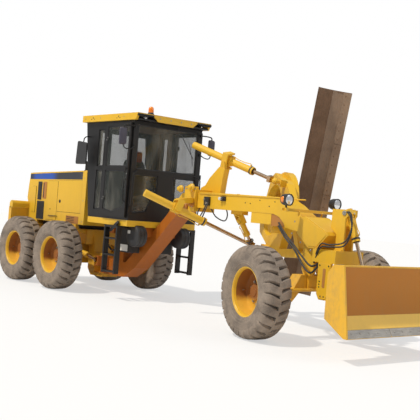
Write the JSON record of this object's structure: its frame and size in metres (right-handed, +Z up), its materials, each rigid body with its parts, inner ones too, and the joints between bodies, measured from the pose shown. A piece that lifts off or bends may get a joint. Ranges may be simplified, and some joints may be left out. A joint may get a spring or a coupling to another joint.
{
  "type": "motor grader with front dozer blade",
  "caption": "Articulated six-wheeled motor grader with a cab, a turning moldboard set in bank-sloping position and a front dozer blade.",
  "frame": {"origin": "on the ground, under the middle of the bounding box", "axes": "+X forward, +Y to the machine's left, +Z up"},
  "size_m": [9.99, 3.334, 4.0425],
  "materials": {
    "yellow_paint": "semi-gloss enamel, dusty and worn at the edges",
    "black_paint": "satin",
    "tyre": "matte, dusty",
    "worn_steel": "scoured and rust-brown",
    "chrome_rod": "polished",
    "engine_iron": "matte",
    "seat_cloth": "woven"
  },
  "bodies": {
    "rear_frame": {"rear_frame": "yellow_paint", "engine_hood": "yellow_paint", "radiator_grille": "black_paint", "engine_block": "engine_iron", "tandem_case_left": "yellow_paint", "tandem_case_right": "yellow_paint"},
    "middle_wheel_left": {"middle_wheel_left_tyre": "tyre", "middle_wheel_left_rim": "yellow_paint"},
    "middle_wheel_right": {"middle_wheel_right_tyre": "tyre", "middle_wheel_right_rim": "yellow_paint"},
    "rear_wheel_left": {"rear_wheel_left_tyre": "tyre", "rear_wheel_left_rim": "yellow_paint"},
    "rear_wheel_right": {"rear_wheel_right_tyre": "tyre", "rear_wheel_right_rim": "yellow_paint"},
    "front_frame": {"front_frame": "yellow_paint", "front_axle": "yellow_paint", "cab_frame": "black_paint", "cab_floor": "yellow_paint", "cab_roof": "black_paint", "seat": "seat_cloth", "steering_console": "black_paint", "ladder_left": "black_paint", "ladder_right": "black_paint", "mirror_left": "black_paint", "mirror_right": "black_paint", "lamp_bar": "yellow_paint", "saddle": "yellow_paint", "dozer_mount": "yellow_paint"},
    "lean_left": {"lean_bracket_left": "yellow_paint"},
    "knuckle_left": {"knuckle_left": "yellow_paint"},
    "front_wheel_left": {"front_wheel_left_tyre": "tyre", "front_wheel_left_rim": "yellow_paint"},
    "door_left": {"door_left": "black_paint"},
    "lean_right": {"lean_bracket_right": "yellow_paint"},
    "knuckle_right": {"knuckle_right": "yellow_paint"},
    "front_wheel_right": {"front_wheel_right_tyre": "tyre", "front_wheel_right_rim": "yellow_paint"},
    "door_right": {"door_right": "black_paint"},
    "lean_bar": {"lean_bar": "yellow_paint"},
    "drawbar": {"drawbar": "yellow_paint"},
    "circle": {"circle": "yellow_paint"},
    "tip_bracket": {"tip_bracket": "yellow_paint"},
    "moldboard": {"moldboard": "worn_steel"},
    "dozer": {"dozer_arms": "yellow_paint", "dozer_blade": "yellow_paint"},
    "lift_cylinder_left_barrel": {"lift_cylinder_left_barrel": "yellow_paint"},
    "lift_cylinder_left_rod": {"lift_cylinder_left_rod": "chrome_rod"},
    "lift_cylinder_right_barrel": {"lift_cylinder_right_barrel": "yellow_paint"},
    "lift_cylinder_right_rod": {"lift_cylinder_right_rod": "chrome_rod"},
    "centre_shift_cylinder_barrel": {"centre_shift_cylinder_barrel": "yellow_paint"},
    "centre_shift_cylinder_rod": {"centre_shift_cylinder_rod": "chrome_rod"},
    "articulation_cylinder_left_barrel": {"articulation_cylinder_left_barrel": "yellow_paint"},
    "articulation_cylinder_left_rod": {"articulation_cylinder_left_rod": "chrome_rod"},
    "articulation_cylinder_right_barrel": {"articulation_cylinder_right_barrel": "yellow_paint"},
    "articulation_cylinder_right_rod": {"articulation_cylinder_right_rod": "chrome_rod"},
    "dozer_cylinder_barrel": {"dozer_cylinder_barrel": "yellow_paint"},
    "dozer_cylinder_rod": {"dozer_cylinder_rod": "chrome_rod"}
  },
  "joints": [
    {"name": "articulation", "type": "hinge", "parent": "rear_frame", "child": "front_frame", "pos_m": [-2.465, -0.2523, 0], "axis": [0, 0, 1], "range_deg": [-20, 20]},
    {"name": "middle_wheel_left_spin", "type": "hinge", "parent": "rear_frame", "child": "middle_wheel_left", "pos_m": [-2.575, 0.8377, 0.665], "axis": [0, 1, 0], "continuous": true},
    {"name": "middle_wheel_right_spin", "type": "hinge", "parent": "rear_frame", "child": "middle_wheel_right", "pos_m": [-2.575, -1.3423, 0.665], "axis": [0, 1, 0], "continuous": true},
    {"name": "rear_wheel_left_spin", "type": "hinge", "parent": "rear_frame", "child": "rear_wheel_left", "pos_m": [-4.115, 0.8377, 0.665], "axis": [0, 1, 0], "continuous": true},
    {"name": "rear_wheel_right_spin", "type": "hinge", "parent": "rear_frame", "child": "rear_wheel_right", "pos_m": [-4.115, -1.3423, 0.665], "axis": [0, 1, 0], "continuous": true},
    {"name": "wheel_lean_left", "type": "hinge", "parent": "front_frame", "child": "lean_left", "pos_m": [3.135, 0.4377, 0.57], "axis": [1, 0, 0], "range_deg": [-18, 18]},
    {"name": "steering_left", "type": "hinge", "parent": "lean_left", "child": "knuckle_left", "pos_m": [3.135, 0.5577, 0], "axis": [0, 0, 1], "range_deg": [-34, 56]},
    {"name": "front_wheel_left_spin", "type": "hinge", "parent": "knuckle_left", "child": "front_wheel_left", "pos_m": [3.1884, 0.8325, 0.665], "axis": [0.1908, 0.9816, 0], "continuous": true},
    {"name": "wheel_lean_right", "type": "hinge", "parent": "front_frame", "child": "lean_right", "pos_m": [3.135, -0.9423, 0.57], "axis": [1, 0, 0], "range_deg": [-18, 18]},
    {"name": "steering_right", "type": "hinge", "parent": "lean_right", "child": "knuckle_right", "pos_m": [3.135, -1.0623, 0], "axis": [0, 0, 1], "range_deg": [-34, 56]},
    {"name": "front_wheel_right_spin", "type": "hinge", "parent": "knuckle_right", "child": "front_wheel_right", "pos_m": [3.0816, -1.3372, 0.665], "axis": [0.1908, 0.9816, 0], "continuous": true},
    {"name": "lean_bar_slide", "type": "slide", "parent": "front_frame", "child": "lean_bar", "axis": [0, 1, 0], "range_m": [-0.048, 0.048]},
    {"name": "door_left_hinge", "type": "hinge", "parent": "front_frame", "child": "door_left", "pos_m": [-1.555, 0.5377, 0], "axis": [0, 0, 1], "range_deg": [0, 95]},
    {"name": "door_right_hinge", "type": "hinge", "parent": "front_frame", "child": "door_right", "pos_m": [-1.555, -1.0423, 0], "axis": [0, 0, -1], "range_deg": [0, 95]},
    {"name": "drawbar_swing", "type": "hinge", "parent": "front_frame", "child": "drawbar", "pos_m": [2.998, -0.2523, 1.115], "axis": [0, 0, 1], "range_deg": [-7, 6]},
    {"name": "circle_turn", "type": "hinge", "parent": "drawbar", "child": "circle", "pos_m": [1.3718, 0.7705, 1.8405], "axis": [0.4513, 0.8891, -0.0765], "range_deg": [-50, 70]},
    {"name": "moldboard_tip", "type": "hinge", "parent": "circle", "child": "tip_bracket", "pos_m": [1.3457, 1.5938, 1.842], "axis": [0.1609, 0.0032, 0.987], "range_deg": [-5, 40]},
    {"name": "moldboard_side_shift", "type": "slide", "parent": "tip_bracket", "child": "moldboard", "axis": [-0.1609, -0.0032, -0.987], "range_m": [-0.26, 0.91]},
    {"name": "dozer_lift", "type": "hinge", "parent": "front_frame", "child": "dozer", "pos_m": [3.605, -0.2523, 0.74], "axis": [0, -1, 0], "range_deg": [-17, 20]},
    {"name": "lift_cylinder_left_swing", "type": "hinge", "parent": "front_frame", "child": "lift_cylinder_left_barrel", "pos_m": [0.705, 0.0397, 2.6535], "axis": [-0.3324, 0.1247, -0.9349], "range_deg": [-8.53, 7.31]},
    {"name": "lift_cylinder_left_stroke", "type": "slide", "parent": "lift_cylinder_left_barrel", "child": "lift_cylinder_left_rod", "axis": [0.9314, 0.1993, -0.3046], "range_m": [-0.0796, 0.0927]},
    {"name": "lift_cylinder_right_swing", "type": "hinge", "parent": "front_frame", "child": "lift_cylinder_right_barrel", "pos_m": [0.705, -1.0328, 1.7536], "axis": [-0.9419, 0.3313, -0.0562], "range_deg": [-3.05, 2.62]},
    {"name": "lift_cylinder_right_stroke", "type": "slide", "parent": "lift_cylinder_right_barrel", "child": "lift_cylinder_right_rod", "axis": [0.329, 0.8749, -0.3553], "range_m": [-0.1897, 0.2212]},
    {"name": "centre_shift_cylinder_swing", "type": "hinge", "parent": "front_frame", "child": "centre_shift_cylinder_barrel", "pos_m": [1.335, -0.1423, 1.64], "axis": [-0.9532, 0.2465, 0.1753], "range_deg": [-18.62, 15.96]},
    {"name": "centre_shift_cylinder_stroke", "type": "slide", "parent": "centre_shift_cylinder_barrel", "child": "centre_shift_cylinder_rod", "axis": [0, 0.5795, -0.815], "range_m": [-0.105, 0.1223]},
    {"name": "articulation_cylinder_left_swing", "type": "hinge", "parent": "rear_frame", "child": "articulation_cylinder_left_barrel", "pos_m": [-3.015, 0.1777, 0.77], "axis": [0.2159, 0.3282, 0.9196], "range_deg": [-6.09, 6.09]},
    {"name": "articulation_cylinder_left_stroke", "type": "slide", "parent": "articulation_cylinder_left_barrel", "child": "articulation_cylinder_left_rod", "axis": [0.9763, -0.061, -0.2075], "range_m": [-0.1399, 0.1399]},
    {"name": "articulation_cylinder_right_swing", "type": "hinge", "parent": "rear_frame", "child": "articulation_cylinder_right_barrel", "pos_m": [-3.015, -0.6823, 0.77], "axis": [0.2159, -0.3282, 0.9196], "range_deg": [-6.09, 6.09]},
    {"name": "articulation_cylinder_right_stroke", "type": "slide", "parent": "articulation_cylinder_right_barrel", "child": "articulation_cylinder_right_rod", "axis": [0.9763, 0.061, -0.2075], "range_m": [-0.1399, 0.1399]},
    {"name": "dozer_cylinder_swing", "type": "hinge", "parent": "front_frame", "child": "dozer_cylinder_barrel", "pos_m": [3.765, -0.2523, 1.88], "axis": [0, 1, 0], "range_deg": [-0.99, 1.16]},
    {"name": "dozer_cylinder_stroke", "type": "slide", "parent": "dozer_cylinder_barrel", "child": "dozer_cylinder_rod", "axis": [0.3823, 0, -0.924], "range_m": [-0.2109, 0.1794]}
  ],
  "couplings": [
    {"joint": "wheel_lean_right", "follows": "wheel_lean_left", "ratio": 1},
    {"joint": "steering_right", "follows": "steering_left", "ratio": 1},
    {"joint": "lean_bar_slide", "follows": "wheel_lean_left", "m_per_rad": -0.15},
    {"joint": "lift_cylinder_left_swing", "follows": "drawbar_swing", "ratio": 1.1755},
    {"joint": "lift_cylinder_left_stroke", "follows": "drawbar_swing", "m_per_rad": -0.72903},
    {"joint": "lift_cylinder_right_swing", "follows": "drawbar_swing", "ratio": 0.41588},
    {"joint": "lift_cylinder_right_stroke", "follows": "drawbar_swing", "m_per_rad": -1.7495},
    {"joint": "centre_shift_cylinder_swing", "follows": "drawbar_swing", "ratio": 2.575},
    {"joint": "centre_shift_cylinder_stroke", "follows": "drawbar_swing", "m_per_rad": -0.96375},
    {"joint": "articulation_cylinder_left_swing", "follows": "articulation", "ratio": 0.29316},
    {"joint": "articulation_cylinder_left_stroke", "follows": "articulation", "m_per_rad": -0.38625},
    {"joint": "articulation_cylinder_right_swing", "follows": "articulation", "ratio": 0.29316},
    {"joint": "articulation_cylinder_right_stroke", "follows": "articulation", "m_per_rad": 0.38627},
    {"joint": "dozer_cylinder_swing", "follows": "dozer_lift", "ratio": 0.05381},
    {"joint": "dozer_cylinder_stroke", "follows": "dozer_lift", "m_per_rad": -0.58372}
  ]
}
